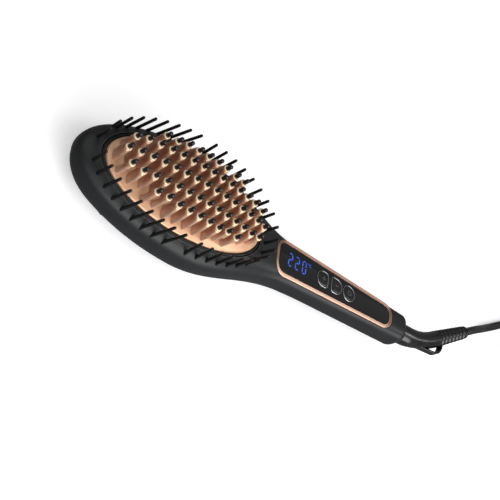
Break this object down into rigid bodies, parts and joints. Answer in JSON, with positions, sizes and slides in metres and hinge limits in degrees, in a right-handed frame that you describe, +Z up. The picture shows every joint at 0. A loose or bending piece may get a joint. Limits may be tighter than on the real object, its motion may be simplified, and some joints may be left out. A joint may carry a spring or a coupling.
{
  "type": "heated hair straightening brush",
  "caption": "Hair brush with an egg-shaped heated head, rows of finned teeth with cool tips, rim bristles, a slim handle with a display panel and buttons, and a swivel cord with plug.",
  "frame": {"origin": "under the middle of the housing, on the surface that the brush lies on", "axes": "+X along the brush from the head's tip to the cord, +Y to the brush's right as its user reads the display, +Z up through the teeth and the control panel"},
  "size_m": [0.5638, 0.1303, 0.0534],
  "materials": {
    "shell_plastic": "charcoal, satin matte",
    "cover_plastic": "charcoal, satin matte",
    "copper_plate": "rose bronze ceramic coat",
    "copper_fins": "rose bronze ceramic coat, bright rounded edges",
    "cool_tips": "black heat-proof nylon, slight sheen",
    "ring_plastic": "black heat-proof plastic, satin",
    "bristles": "black nylon, slight sheen",
    "heater_ceramic": "white alumina ceramic",
    "inner_steel": "zinc-plated steel",
    "sensor_bead": "resin-coated bead",
    "shield_board": "mica board",
    "lead_sleeve": "white silicone and nylon",
    "circuit_board": "green circuit board",
    "dark_component": "black moulded component",
    "relay_case": "blue moulded case",
    "capacitor_case": "yellow film capacitor",
    "button_caps": "dark grey, satin gloss",
    "button_rims": "thin silver plating",
    "panel_gloss": "piano-black gloss",
    "rose_trim": "rose-gold plated",
    "screw_steel": "black zinc",
    "hub_plastic": "black nylon",
    "contact_brass": "plain brass",
    "relief_rubber": "black soft plastic, satin",
    "cord_rubber": "black flexible cord, satin",
    "plug_plastic": "black moulded plug, satin",
    "plug_metal": "nickel-plated brass"
  },
  "bodies": {
    "brush": {"front_shell": "shell_plastic", "rear_cover": "cover_plastic", "heating_plate": "copper_plate", "fin_row_1": "copper_fins", "fin_row_2": "copper_fins", "fin_row_3": "copper_fins", "fin_row_4": "copper_fins", "fin_row_5": "copper_fins", "pin_row_1": "cool_tips", "pin_row_2": "cool_tips", "pin_row_3": "cool_tips", "pin_row_4": "cool_tips", "pin_row_5": "cool_tips", "plate_ring": "ring_plastic", "bristles_tip_near": "bristles", "bristles_tip_far": "bristles", "bristles_neck_near": "bristles", "bristles_neck_far": "bristles", "neck_bristle": "bristles", "heater_tip": "heater_ceramic", "heater_neck": "heater_ceramic", "heater_clamp": "inner_steel", "clamp_screws": "inner_steel", "thermistor": "sensor_bead", "thermal_fuse": "inner_steel", "heat_shield": "shield_board", "heater_leads": "lead_sleeve", "control_board": "circuit_board", "board_screws": "inner_steel", "display_module": "dark_component", "relay": "relay_case", "capacitor": "capacitor_case", "board_fuse": "lead_sleeve", "switch_plus": "dark_component", "switch_minus": "dark_component", "switch_power": "dark_component", "rim_plus": "button_rims", "rim_minus": "button_rims", "rim_power": "button_rims", "control_panel": "panel_gloss", "trim_ring": "rose_trim", "head_screws": "screw_steel", "handle_screws": "screw_steel", "contact_fingers": "contact_brass"},
    "plus_key": {"button_plus": "button_caps", "plunger_plus": "lead_sleeve"},
    "minus_key": {"button_minus": "button_caps", "plunger_minus": "lead_sleeve"},
    "power_key": {"button_power": "button_caps", "plunger_power": "lead_sleeve"},
    "cord": {"cord_hub": "hub_plastic", "slip_rings": "contact_brass", "strain_relief": "relief_rubber", "cord_lead": "cord_rubber", "cord_coil": "cord_rubber", "cord_tail": "cord_rubber", "plug_body": "plug_plastic", "plug_pins": "plug_metal"}
  },
  "joints": [
    {"name": "plus_press", "type": "slide", "parent": "brush", "child": "plus_key", "axis": [0, 0, -1], "range_m": [0, 0.0006], "stiffness_N_per_m": 2500, "springref_m": -0.0004},
    {"name": "minus_press", "type": "slide", "parent": "brush", "child": "minus_key", "axis": [0, 0, -1], "range_m": [0, 0.0006], "stiffness_N_per_m": 2500, "springref_m": -0.0004},
    {"name": "power_press", "type": "slide", "parent": "brush", "child": "power_key", "axis": [0, 0, -1], "range_m": [0, 0.0006], "stiffness_N_per_m": 2500, "springref_m": -0.0004},
    {"name": "cord_swivel", "type": "hinge", "parent": "brush", "child": "cord", "pos_m": [0.13, 0, 0.0195], "axis": [1, 0, 0], "continuous": true}
  ]
}
